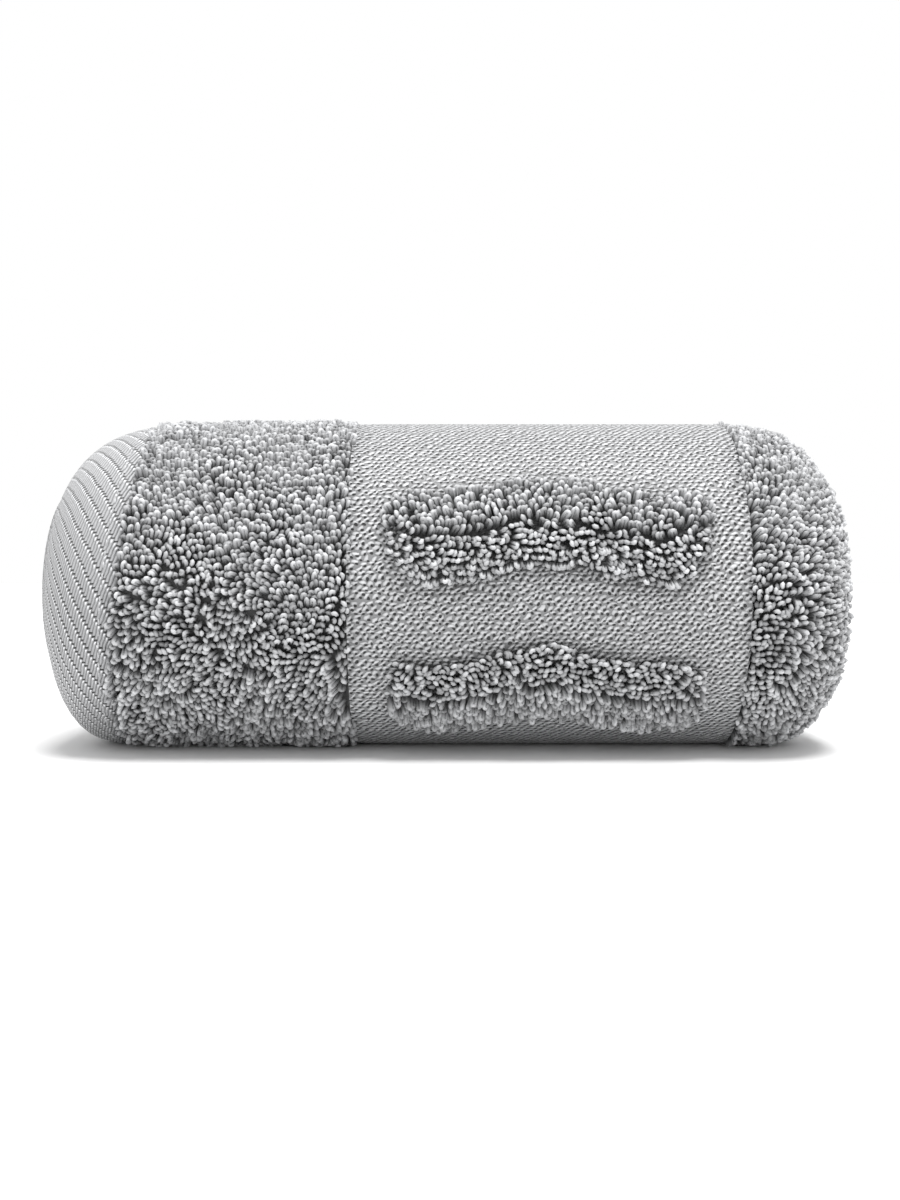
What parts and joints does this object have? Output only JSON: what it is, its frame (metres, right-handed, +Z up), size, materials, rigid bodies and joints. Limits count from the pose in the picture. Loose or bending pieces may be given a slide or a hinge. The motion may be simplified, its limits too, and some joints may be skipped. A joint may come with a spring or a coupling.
{
  "type": "rolled bath towel",
  "caption": "Thick looped cotton bath towel, folded in half lengthwise and rolled up, with woven hems, a pile border and raised wavy ribs.",
  "frame": {"origin": "on the resting surface, under the middle of the roll's box", "axes": "+X along the roll from the hems to the fold, -Y is the front, +Z is up"},
  "size_m": [0.2955, 0.134, 0.124],
  "materials": {
    "grey_cotton": "looped pile and flat weave, matte"
  },
  "bodies": {
    "root": {"rolled_towel": "grey_cotton"}
  },
  "joints": []
}
